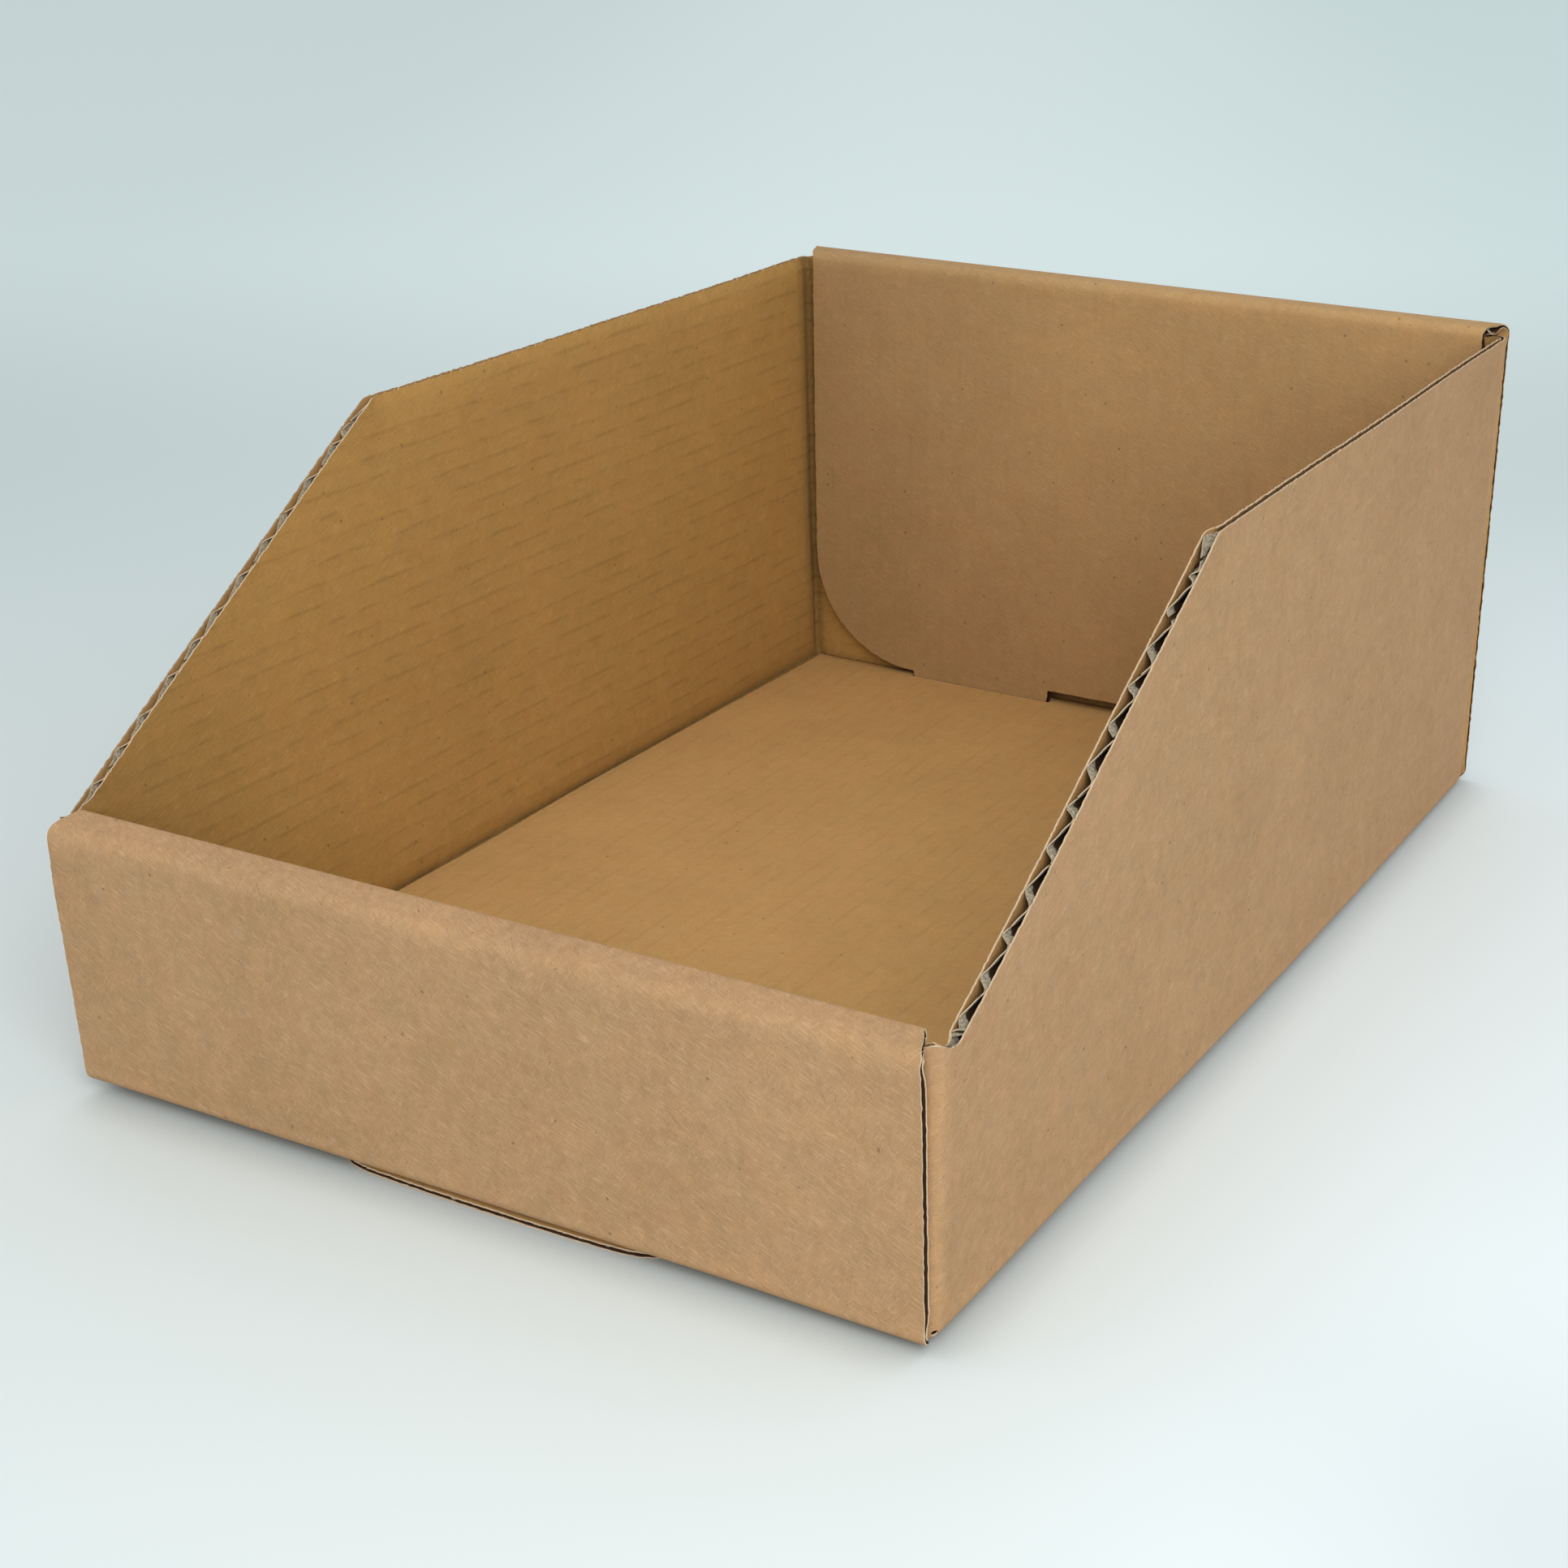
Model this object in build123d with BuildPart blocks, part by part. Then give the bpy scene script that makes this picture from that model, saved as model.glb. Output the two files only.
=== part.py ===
from build123d import *
import os

os.makedirs("parts", exist_ok=True)

# Outside sizes of the set-up tray, from the front face to the back face and up from the base
width = 200.0
depth = 300.0
back_height = 122.4
side_height = 119.6
front_height = 59.6

# Corrugated board: two liners and the fluted medium between them
board = 3.0
liner = 0.35
medium = 0.3
flute_pitch = 5.1
flute_depth = 9.0
flute_reach_share = 0.43

# Folds, and the air between the plies of a doubled wall
fold_radius = 2.8
crease_radius = 1.6
ply_gap = 0.2
overrun = 1.0

# Doubled front and back walls: an outer panel, a top band and an inner panel
front_crease_drop = 1.4
panel_inset = 0.8
inner_panel_inset = 5.0

# Side walls: a low run beside the front wall, a slope, and a level top
slope_foot_setback = 9.2
slope_top_setback = 107.5
slope_foot_radius = 5.0
slope_top_radius = 3.0

# Tuck flaps of the side walls, shut in between the plies of the front and back walls
flap_length = 70.0
flap_floor_gap = 1.2
flap_taper = 8.0

# Inner back panel: rounded lower corners, two lock tabs and a hand notch between them
back_corner_radius = 32.0
back_corner_lift = 1.2
back_tab_inner = 20.4
back_tab_outer = 64.0
back_notch_height = 3.0
tab_tip_gap = 0.3

# Inner front panel: rounded lower corners and one wide lock tab, folded forward under the base
front_corner_radius = 18.0
front_corner_lift = 1.2
front_tab_half = 36.0
front_tab_offset = 5.5
tab_press = 0.3
tab_gap = 0.1
tab_margin = 1.2

# Relief hole where three creases meet at each lower front corner
relief_radius = 0.9
relief_setback = 1.4
relief_rise = 1.6
relief_depth = 4.0

# Places that follow from the sizes above
half = width / 2
front = -depth / 2
back = depth / 2
roll = 3 * board + 2 * ply_gap
panel_half = half - panel_inset
inner_half = half - inner_panel_inset
wall_front = front + board + ply_gap
wall_back = back - board - ply_gap
slope_foot = front + slope_foot_setback
slope_top = front + slope_top_setback
front_crease = front_height - front_crease_drop
low_run_height = front_crease - board - ply_gap
slope_run_share = (slope_top - slope_foot) / (side_height - low_run_height)


def corner(sketch, across, up):
    """The vertex of a sketch that lies nearest to a place on its own plane"""
    return sketch.vertices().sort_by_distance(Vector(across, up))[0]


def flute_mouth(side):
    """One open flute from crest to crest: x runs across the board, y along its face"""
    wall = side * (board / 2 - liner)
    root = -side * (board / 2 - liner - medium)
    flank = side * medium / 2
    reach = flute_reach_share * flute_pitch
    with BuildSketch(mode=Mode.PRIVATE) as mouth:
        with BuildLine():
            wave = Spline(
                (wall, -reach),
                (flank, -flute_pitch / 4),
                (root, 0),
                (flank, flute_pitch / 4),
                (wall, reach),
            )
            Line(wave @ 1, wave @ 0)
        make_face()
    return mouth.sketch


def band_ends(outer_y, inner_y):
    """Plan of what is cut off a top band so that it tapers to the narrower inner panel"""
    with BuildSketch(mode=Mode.PRIVATE) as ends:
        with BuildLine():
            Polyline(
                (panel_half, outer_y),
                (inner_half, inner_y),
                (inner_half, 0),
                (half + overrun, 0),
                (half + overrun, outer_y),
                close=True,
            )
        make_face()
        mirror(about=Plane.YZ)
    return ends.sketch


def lower_corners(radius, lift):
    """What is cut off an inner panel to round its two lower corners, x across and y up"""
    arc_foot = board + lift
    panel_foot = board + ply_gap / 2
    with BuildSketch(mode=Mode.PRIVATE) as corners:
        with BuildLine():
            arc = RadiusArc((inner_half, arc_foot + radius), (inner_half - radius, arc_foot), radius)
            Polyline(
                arc @ 1,
                (inner_half - radius, panel_foot),
                (half, panel_foot),
                (half, arc_foot + radius),
                arc @ 0,
            )
        make_face()
        mirror(about=Plane.YZ)
    return corners.sketch


# Base, front wall and back wall: one strip of board, rolled over at both ends
with BuildPart() as long_strip:
    with BuildSketch(Plane.YZ) as strip_section:
        with BuildLine():
            Polyline(
                (front, 0),
                (back, 0),
                (back, back_height),
                (back - roll, back_height),
                (back - roll, board + ply_gap),
                (back - roll + board, board + ply_gap),
                (back - roll + board, back_height - board),
                (back - board, back_height - board),
                (back - board, board),
                (front + board, board),
                (front + board, front_crease - board),
                (front + roll - board, front_height - board),
                (front + roll - board, board + ply_gap),
                (front + roll, board + ply_gap),
                (front + roll, front_height),
                (front, front_crease),
                close=True,
            )
        make_face()
        outer_folds = [
            corner(strip_section, front, 0),
            corner(strip_section, back, 0),
            corner(strip_section, front, front_crease),
            corner(strip_section, back, back_height),
        ]
        fillet(outer_folds, fold_radius)
        inner_folds = [
            corner(strip_section, front + roll, front_height),
            corner(strip_section, back - roll, back_height),
        ]
        fillet(inner_folds, crease_radius)
    extrude(amount=panel_half, both=True)

    # The top bands taper between the wide outer panels and the narrow inner ones
    with BuildSketch(Plane.XY.offset(front_crease - board - ply_gap)):
        add(band_ends(front + fold_radius, front + roll))
    extrude(amount=board + front_crease_drop + ply_gap + overrun, mode=Mode.SUBTRACT)
    with BuildSketch(Plane.XY.offset(back_height - board - ply_gap)):
        add(band_ends(back - fold_radius, back - roll))
    extrude(amount=board + ply_gap + overrun, mode=Mode.SUBTRACT)

    # The inner panels stand between the side walls
    with BuildSketch(Plane.XY.offset(board + ply_gap / 2)):
        inner_span = depth - 2 * roll + 2 * board + ply_gap
        with Locations((inner_half, 0)):
            Rectangle(half, inner_span, align=(Align.MIN, Align.CENTER))
        with Locations((-inner_half, 0)):
            Rectangle(half, inner_span, align=(Align.MAX, Align.CENTER))
    extrude(amount=back_height, mode=Mode.SUBTRACT)

    # Lower corners of the inner panels, and the notch in the back one
    with BuildSketch(Plane.XZ.offset(roll - board - ply_gap / 2 - back)):
        add(lower_corners(back_corner_radius, back_corner_lift))
        with Locations((0, board)):
            Rectangle(2 * back_tab_inner, back_notch_height, align=(Align.CENTER, Align.MIN))
    extrude(amount=board + ply_gap / 2 + overrun, mode=Mode.SUBTRACT)
    with BuildSketch(Plane.XZ.offset(-front - roll - overrun)):
        add(lower_corners(front_corner_radius, front_corner_lift))
    extrude(amount=board + ply_gap / 2 + overrun, mode=Mode.SUBTRACT)

# One side wall with its two tuck flaps, drawn in plan and then cut to its outline
with BuildPart() as side_shell:
    with BuildSketch() as shell_plan:
        with BuildLine():
            Polyline(
                (half, wall_front),
                (half, wall_back),
                (half - flap_length, wall_back),
                (half - flap_length, wall_back - board),
                (half - board, wall_back - board),
                (half - board, wall_front + board),
                (half - flap_length, wall_front + board),
                (half - flap_length, wall_front),
                close=True,
            )
        make_face()
        upright_folds = [
            corner(shell_plan, half, wall_front),
            corner(shell_plan, half, wall_back),
        ]
        fillet(upright_folds, fold_radius)
    extrude(amount=side_height)

    # Low run, slope and level top
    with BuildSketch(Plane.YZ) as wall_outline:
        with BuildLine():
            Polyline(
                (wall_front - overrun, -overrun),
                (wall_back + overrun, -overrun),
                (wall_back + overrun, side_height),
                (slope_top, side_height),
                (slope_foot, low_run_height),
                (wall_front - overrun, low_run_height),
                close=True,
            )
        make_face()
        fillet(corner(wall_outline, slope_foot, low_run_height), slope_foot_radius)
        fillet(corner(wall_outline, slope_top, side_height), slope_top_radius)
    extrude(amount=width, mode=Mode.INTERSECT)

    # The flaps clear the base, and taper to their free ends
    with BuildSketch(Plane.XZ.offset(-wall_back - overrun)) as flap_trim:
        tip = half - flap_length
        with BuildLine():
            Polyline(
                (half - board, -overrun),
                (half - board, board + flap_floor_gap),
                (tip + flap_taper, board + flap_floor_gap),
                (tip, board + flap_floor_gap + flap_taper),
                (tip - overrun, board + flap_floor_gap + flap_taper),
                (tip - overrun, -overrun),
                close=True,
            )
        make_face()
    extrude(amount=depth, mode=Mode.SUBTRACT)

# Flutes open at the cut edges of the right side wall and at the raw ends of the outer panels
with BuildPart() as open_flutes:
    half_pitch = flute_pitch / 2
    wall_middle = half - board / 2
    wall_rows = int((side_height - low_run_height) / half_pitch)
    for row in range(wall_rows + 1):
        level = side_height - row * half_pitch
        slope_at_level = slope_foot + (level - low_run_height) * slope_run_share
        start = slope_at_level - half_pitch * slope_run_share - overrun
        stop = slope_at_level + half_pitch * slope_run_share + flute_depth
        if row == 0:
            start = slope_top - overrun
            stop = wall_back - board
        if row == wall_rows:
            start = wall_front + board
        with BuildSketch(Plane((wall_middle, start, level), x_dir=(1, 0, 0), z_dir=(0, 1, 0))):
            add(flute_mouth(-1 if row % 2 else 1))
        extrude(amount=stop - start)
    for panel_middle, panel_top in (
        (front + board / 2, front_crease - board),
        (back - board / 2, back_height - board),
    ):
        with BuildSketch(Plane((panel_half, panel_middle, board), x_dir=(0, 1, 0), z_dir=(0, 0, 1))):
            add(flute_mouth(1))
        extrude(amount=panel_top - board)

# The whole tray, folded from one sheet
with BuildPart() as folded_tray:
    add(long_strip.part)
    add(side_shell.part)
    mirror(side_shell.part, about=Plane.YZ)

    # Outer folds between the base and the side walls
    with BuildSketch(Plane.XZ.offset(-back - overrun)):
        with BuildLine():
            fold_arc = RadiusArc((half, fold_radius), (half - fold_radius, 0), fold_radius)
            Polyline(
                fold_arc @ 1,
                (half - fold_radius, -overrun),
                (half + overrun, -overrun),
                (half + overrun, fold_radius),
                fold_arc @ 0,
            )
        make_face()
        mirror(about=Plane.YZ)
    extrude(amount=depth + 2 * overrun, mode=Mode.SUBTRACT)

    # Slots in the base for the lock tabs
    with BuildSketch():
        tab_middle = (back_tab_inner + back_tab_outer) / 2
        tab_width = back_tab_outer - back_tab_inner
        with Locations((-tab_middle, back - roll + board / 2), (tab_middle, back - roll + board / 2)):
            Rectangle(tab_width + 2 * ply_gap, board + 2 * ply_gap)
        with Locations((front_tab_offset, front + roll - board / 2)):
            Rectangle(2 * (front_tab_half + ply_gap), board + 2 * ply_gap)
    extrude(amount=board, mode=Mode.SUBTRACT)

    # The back tabs stand in their slots
    with BuildSketch(Plane.XY.offset(tab_tip_gap)):
        with Locations((-tab_middle, back - roll + board / 2), (tab_middle, back - roll + board / 2)):
            Rectangle(tab_width, board)
    extrude(amount=board + back_notch_height - tab_tip_gap)

    # The folded front tab has pressed a shallow bed into the underside of the base
    with BuildSketch():
        with Locations((front_tab_offset, front - overrun)):
            Rectangle(
                2 * (front_tab_half + tab_margin),
                roll + tab_margin + overrun,
                align=(Align.CENTER, Align.MIN),
            )
    extrude(amount=tab_press, mode=Mode.SUBTRACT)

    # The front tab goes down through its slot and is folded forward under the base
    with BuildSketch(Plane.XY.offset(tab_press - tab_gap - board)):
        tab_left = front_tab_offset - front_tab_half
        tab_right = front_tab_offset + front_tab_half
        with BuildLine():
            tab_end = ThreePointArc(
                (tab_right, front + roll - board),
                (front_tab_offset, front),
                (tab_left, front + roll - board),
            )
            Polyline(tab_end @ 1, (tab_left, front + roll), (tab_right, front + roll), tab_end @ 0)
        make_face()
    extrude(amount=board)
    with BuildSketch(Plane.XY.offset(tab_press - tab_gap - board / 2)):
        with Locations((front_tab_offset, front + roll - board / 2)):
            Rectangle(2 * front_tab_half, board)
    extrude(amount=2 * board)
    tab_fold = folded_tray.edges().filter_by(Axis.X).sort_by_distance(
        Vector(front_tab_offset, front + roll, tab_press - tab_gap - board)
    )[0]
    fillet(tab_fold, fold_radius)

    # Flutes open at the free end of the folded tab, which is an arc
    tab_sagitta = roll - board
    tab_arc_radius = (front_tab_half**2 + tab_sagitta**2) / (2 * tab_sagitta)
    tab_rows = int(2 * front_tab_half / half_pitch)
    tab_root = front + roll - board / 2
    for row in range(1, tab_rows):
        aside = row * half_pitch - front_tab_half
        arc_drop = tab_arc_radius - (tab_arc_radius**2 - aside**2) ** 0.5
        start = (front_tab_offset + aside, front + arc_drop - overrun, tab_press - tab_gap - board / 2)
        with BuildSketch(Plane(start, x_dir=(0, 0, 1), z_dir=(0, 1, 0))):
            add(flute_mouth(-1 if row % 2 else 1))
        extrude(amount=tab_root - front - arc_drop + overrun, mode=Mode.SUBTRACT)

    # Flutes open at the cut edges of both side walls and both outer panels
    add(open_flutes.part, mode=Mode.SUBTRACT)
    mirror(open_flutes.part, about=Plane.YZ, mode=Mode.SUBTRACT)

    # Relief holes at the lower front corners
    with BuildSketch(Plane.YZ.offset(half - relief_depth)):
        with Locations((wall_front + relief_setback, relief_rise)):
            Circle(relief_radius)
    extrude(amount=relief_depth + overrun, mode=Mode.SUBTRACT)
    with BuildSketch(Plane.YZ.offset(-half - overrun)):
        with Locations((wall_front + relief_setback, relief_rise)):
            Circle(relief_radius)
    extrude(amount=relief_depth + overrun, mode=Mode.SUBTRACT)

folded_tray.part.label = "folded_tray"
export_step(folded_tray.part, "parts/folded_tray.step")
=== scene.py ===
import math

import bpy
import numpy as np
from mathutils import Matrix, Vector
from mathutils.geometry import delaunay_2d_cdt


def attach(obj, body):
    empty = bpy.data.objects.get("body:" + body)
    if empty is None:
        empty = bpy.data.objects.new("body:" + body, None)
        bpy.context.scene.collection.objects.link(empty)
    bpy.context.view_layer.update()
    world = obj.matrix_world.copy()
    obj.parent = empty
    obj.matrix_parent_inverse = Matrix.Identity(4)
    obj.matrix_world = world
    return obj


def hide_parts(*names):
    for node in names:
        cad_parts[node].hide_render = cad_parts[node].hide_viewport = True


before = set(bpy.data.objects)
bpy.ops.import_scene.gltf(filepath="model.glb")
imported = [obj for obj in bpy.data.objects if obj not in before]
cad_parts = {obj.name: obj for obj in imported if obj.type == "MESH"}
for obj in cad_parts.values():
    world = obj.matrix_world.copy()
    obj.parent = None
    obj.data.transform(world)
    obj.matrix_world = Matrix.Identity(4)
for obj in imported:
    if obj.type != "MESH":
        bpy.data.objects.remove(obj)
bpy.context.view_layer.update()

# Sizes in millimetres, in the frame of the CAD
MM = 0.001
HALF = 100.0
FRONT, BACK = -150.0, 150.0
INNER_FRONT, INNER_BACK = -140.6, 140.6
UNDER, TOP = -2.8, 122.4
BOARD, LINER, MEDIUM, PITCH = 3.0, 0.35, 0.24, 5.1
SWING = BOARD / 2 - LINER - MEDIUM / 2
FOLD = 2.8
SIDE_TOP, LOW_RUN = 119.6, 55.4
SLOPE_FOOT, SLOPE_TOP = -139.9, -41.9
WALL_FRONT, WALL_BACK = -147.2, 146.8
PANEL_HALF, INNER_HALF = 99.2, 96.2
TAB_MIDDLE, TAB_HALF = 2.6, 39.8
BACK_TAB_IN, BACK_TAB_OUT = 20.4, 64.0
SLOT_Y, SLOT_HALF, SLOT_SPARE, BACK_SLOT_SPARE = 142.1, 1.7, 0.2, 0.4
FRONT_DROP, RIGHT_DROP, BASE_BULGE = 1.3, 0.6, 1.75

# The share of its thickness that the board loses where it is folded, cut, locked or pressed
FOLD_CRUSH, END_CRUSH, TAB_CRUSH = 0.34, 0.38, 0.46
RIM_CRUSH, FLAP_CRUSH, LEFT_CRUSH = 0.50, 0.58, 0.2

# Steps of the meshes: the liners' grid, and the medium beside a cut, along a flute and across it
GRID, FOLD_GRID = 6.0, 0.55
NEAR_CUT, SHORT_ROWS, ROW_STEP, FLUTE_STEPS = (0.0, 0.5, 1.0, 1.6, 2.3, 3.1, 4.2, 6.0), 18, 12.0, 12
FLUTE_LEAN, FRAY = 0.65, 0.10


def smooth(value, low, high):
    """0 below low, 1 above high and a smooth step between"""
    t = np.clip((value - low) / (high - low), 0, 1)
    return t * t * (3 - 2 * t)


def soft_noise(x, y, seed, length):
    """A smooth, repeatable wobble between about -1 and 1"""
    rng = np.random.default_rng(seed)
    total = np.zeros(len(x))
    for _ in range(7):
        angle = rng.uniform(0, 2 * math.pi)
        scale = rng.uniform(0.6, 1.7) * 2 * math.pi / length
        phase = rng.uniform(0, 2 * math.pi)
        total += np.sin((x * math.cos(angle) + y * math.sin(angle)) * scale + phase)
    return total / 3.2


# Paths of rounded corners


class Path:
    """A polyline with rounded corners, read by its arc length"""

    def __init__(self, corners, radii):
        points = [np.array(c, float) for c in corners]
        self.parts, self.folds = [], []
        self.corner_at = [0.0]
        cursor, length = points[0], 0.0
        for i in range(1, len(points) - 1):
            into = points[i] - points[i - 1]
            out = points[i + 1] - points[i]
            into, out = into / np.linalg.norm(into), out / np.linalg.norm(out)
            turn = math.atan2(into[0] * out[1] - into[1] * out[0], into @ out)
            radius = radii[i - 1]
            setback = radius * math.tan(abs(turn) / 2)
            start = points[i] - into * setback
            run = np.linalg.norm(start - cursor)
            self.parts.append(("line", length, length + run, cursor, into, 0, 0))
            length += run
            sweep = radius * abs(turn)
            self.parts.append(("arc", length, length + sweep, start, into, radius, turn))
            self.folds.append((length, length + sweep))
            self.corner_at.append(length + sweep / 2)
            length += sweep
            cursor = points[i] + out * setback
        last = points[-1] - cursor
        run = np.linalg.norm(last)
        self.parts.append(("line", length, length + run, cursor, last / run, 0, 0))
        self.length = length + run
        self.corner_at.append(self.length)

    def at(self, s):
        """Place and direction of travel at each arc length"""
        s = np.asarray(s, float)
        place = np.zeros((len(s), 2))
        heading = np.zeros((len(s), 2))
        for kind, s0, s1, start, direction, radius, turn in self.parts:
            inside = (s >= s0 - 1e-9) & (s <= s1 + 1e-9)
            if s0 == 0:
                inside |= s < 0
            if s1 == self.length:
                inside |= s > s1
            d = s[inside] - s0
            if kind == "line":
                place[inside] = start + d[:, None] * direction
                heading[inside] = direction
            else:
                left = np.array([-direction[1], direction[0]]) * math.copysign(1, turn)
                a = np.abs(d / radius)
                place[inside] = start + radius * (
                    np.sin(a)[:, None] * direction + (1 - np.cos(a))[:, None] * left
                )
                heading[inside] = np.cos(a)[:, None] * direction + np.sin(a)[:, None] * left
        return place, heading

    def near_fold(self, s, reach):
        """1 in the middle of a fold, falling to 0 at reach from it"""
        s = np.asarray(s, float)
        near = np.zeros(len(s))
        for s0, s1 in self.folds:
            away = np.maximum(0, np.maximum(s0 - s, s - s1))
            near = np.maximum(near, np.exp(-((away / reach) ** 2)))
        return near

    def stations(self, coarse, fine):
        """Arc lengths to divide at, closer together round the folds"""
        found = []
        for kind, s0, s1, *_ in self.parts:
            step = fine if kind == "arc" else coarse
            n = max(1, int(round((s1 - s0) / step)))
            found += list(np.linspace(s0, s1, n + 1)[:-1])
            if kind == "line" and s1 - s0 > 8:
                found += [s0 + 1.2, s0 + 2.6, s1 - 1.2, s1 - 2.6]
        return sorted(found + [self.length])


# Flat outlines


def arc_points(cx, cy, radius, a0, a1, n=14):
    """Points of a circular arc, angles in degrees"""
    return [
        (cx + radius * math.cos(math.radians(a)), cy + radius * math.sin(math.radians(a)))
        for a in np.linspace(a0, a1, n)
    ]


def ragged(ring, step, amount, rng):
    """A ring divided to short steps, each new point moved a little across its edge"""
    made, most = [], 2.2 * amount
    count = len(ring)
    for i in range(count):
        a, b = np.array(ring[i], float), np.array(ring[(i + 1) % count], float)
        run = np.linalg.norm(b - a)
        n = max(1, int(math.ceil(run / step)))
        across = np.array([-(b - a)[1], (b - a)[0]]) / max(run, 1e-9)
        for k in range(n):
            push = 0.0 if k == 0 else amount * rng.normal()
            made.append(tuple(a + (b - a) * k / n + across * np.clip(push, -most, most)))
    return made


def inside_rings(points, rings):
    """Even-odd test of many points against several rings"""
    found = np.zeros(len(points), bool)
    x, y = points[:, 0], points[:, 1]
    for ring in rings:
        r = np.array(ring, float)
        for (x0, y0), (x1, y1) in zip(r, np.roll(r, -1, axis=0)):
            crosses = (y0 > y) != (y1 > y)
            if y1 != y0:
                found ^= crosses & (x < (x1 - x0) * (y - y0) / (y1 - y0) + x0)
    return found


def away_from_rings(points, rings, clear):
    """True for points further than clear from every ring point"""
    keep = np.ones(len(points), bool)
    for ring in rings:
        r = np.array(ring, float)
        for i in range(0, len(r), 64):
            gap = np.abs(points[:, None, :] - r[None, i:i + 64, :])
            keep &= ~((gap[..., 0] < clear) & (gap[..., 1] < clear)).any(1)
    return keep


def triangulate(rings, us, vs, clear):
    """Vertices and triangles of a flat region divided at a grid of stations"""
    grid = np.array([(u, v) for u in us for v in vs], float)
    low = np.min([np.min(np.array(r), 0) for r in rings], 0)
    high = np.max([np.max(np.array(r), 0) for r in rings], 0)
    grid = grid[((grid > low) & (grid < high)).all(1)]
    grid = grid[inside_rings(grid, rings)]
    grid = grid[away_from_rings(grid, rings, clear)]
    points, edges = [], []
    for ring in rings:
        first = len(points)
        points += [Vector(p) for p in ring]
        edges += [(first + i, first + (i + 1) % len(ring)) for i in range(len(ring))]
    points += [Vector(p) for p in grid]
    verts, _, faces, *_ = delaunay_2d_cdt(points, edges, [], 0, 1e-6, False)
    verts = np.array([tuple(v) for v in verts])
    faces = np.array([f for f in faces if len(f) == 3])
    centres = verts[faces].mean(1)
    return verts, faces[inside_rings(centres, rings)]


# Meshes


def make_piece(name, places, faces, materials, uv, crease):
    """A mesh piece from places in millimetres, with its flat sheet as UV map and its crease values; on the
    medium these hold its distance in from the cut, which sets its painted shade
    """
    mesh = bpy.data.meshes.new(name)
    points = [tuple(p) for p in np.asarray(places) * MM]
    mesh.from_pydata(points, [], [tuple(map(int, f)) for f in faces])
    layer = mesh.uv_layers.new(name="sheet")
    loops = np.zeros(len(mesh.loops), int)
    mesh.loops.foreach_get("vertex_index", loops)
    layer.data.foreach_set("uv", (np.asarray(uv)[loops] * MM).astype(np.float32).ravel())
    mark = mesh.attributes.new("crease", "FLOAT", "POINT")
    mark.data.foreach_set("value", np.asarray(crease, np.float32))
    piece = bpy.data.objects.new(name, mesh)
    bpy.context.scene.collection.objects.link(piece)
    for m in materials:
        mesh.materials.append(m)
    return piece


def thicken(piece, thickness, hidden=0):
    """Gives a sheet its thickness: raw-edge material on its rim, the hidden one on its far side"""
    mod = piece.modifiers.new("ply", "SOLIDIFY")
    mod.thickness = thickness * MM
    mod.offset = 0
    mod.use_rim = True
    mod.use_quality_normals = True
    mod.material_offset_rim = 1
    mod.material_offset = hidden
    bpy.context.view_layer.update()
    depsgraph = bpy.context.evaluated_depsgraph_get()
    solid = bpy.data.meshes.new_from_object(
        piece.evaluated_get(depsgraph), preserve_all_data_layers=True, depsgraph=depsgraph
    )
    solid.name = piece.name
    piece.modifiers.clear()
    piece.data = solid
    solid.polygons.foreach_set("use_smooth", np.ones(len(solid.polygons), bool))
    solid.set_sharp_from_angle(angle=math.radians(40))
    return piece


def settle(piece):
    """Every piece of the tray rides on the one body and stands in for the CAD's folded tray, which is hidden
    """
    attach(piece, "root")
    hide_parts("folded_tray")


# The long strip: front tab, doubled front wall, base, doubled back wall

CREASE_Y, CREASE_Z = -151.7, 57.4
BAND_Y, BAND_Z = -144.3, 59.7
strip_path = Path(
    [
        (FRONT, UNDER),
        (INNER_FRONT, UNDER),
        (BAND_Y, BAND_Z),
        (CREASE_Y, CREASE_Z),
        (FRONT, 0.0),
        (BACK, 0.0),
        (BACK, TOP),
        (INNER_BACK, TOP),
        (INNER_BACK, 0.3),
    ],
    [2.6, 0.9, 3.0, FOLD, FOLD, FOLD, 2.4],
)


def sagged(place):
    """The tray as it rests: its front edge let down, most at the right, its base bowed out at both sides"""
    x, y, z = place.T
    drop = FRONT_DROP + RIGHT_DROP * smooth(x, 48.0, 97.0)
    drop = drop * smooth(-y, 60.0, 148.0) * (1 - smooth(z, -1.0, 58.0))
    drop *= 0.55 + 0.45 * smooth(z, -2.6, -0.4)
    along = np.clip((y - WALL_FRONT) / (WALL_BACK - WALL_FRONT), 0, 1)
    bulge = BASE_BULGE * np.sin(math.pi * along) * (1 - np.clip(z / SIDE_TOP, 0, 1))
    return np.stack([x + np.sign(x) * bulge * smooth(np.abs(x), 60.0, 97.0), y, z - drop], 1)


def strip_place(u, s, depth):
    """Where a point of the long strip lies: u across, s along, depth under its outer face"""
    u, s = np.asarray(u, float), np.asarray(s, float)
    depth = np.full(len(u), depth) if np.isscalar(depth) else depth
    place, heading = strip_path.at(s)
    outward = np.stack([heading[:, 1], -heading[:, 0]], 1)
    folded = strip_path.near_fold(s, 2.2)
    raw_end = np.clip((np.abs(u) - PANEL_HALF + 2.4) / 2.4, 0, 1) ** 2
    in_tab = np.clip((strip_path.folds[0][0] + 1.0 - s) / 3.0, 0, 1)
    squeeze = (1 - FOLD_CRUSH * folded - END_CRUSH * raw_end) * (1 - TAB_CRUSH * in_tab)
    wobble = soft_noise(u, s, 11, 90) * 0.16 * (1 - folded)
    line = place - outward * (depth * squeeze - wobble)[:, None]
    return sagged(np.stack([u, line[:, 0], line[:, 1]], 1))


def s_of(corner):
    """Arc length of a corner of the strip's path"""
    return strip_path.corner_at[corner]


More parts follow.
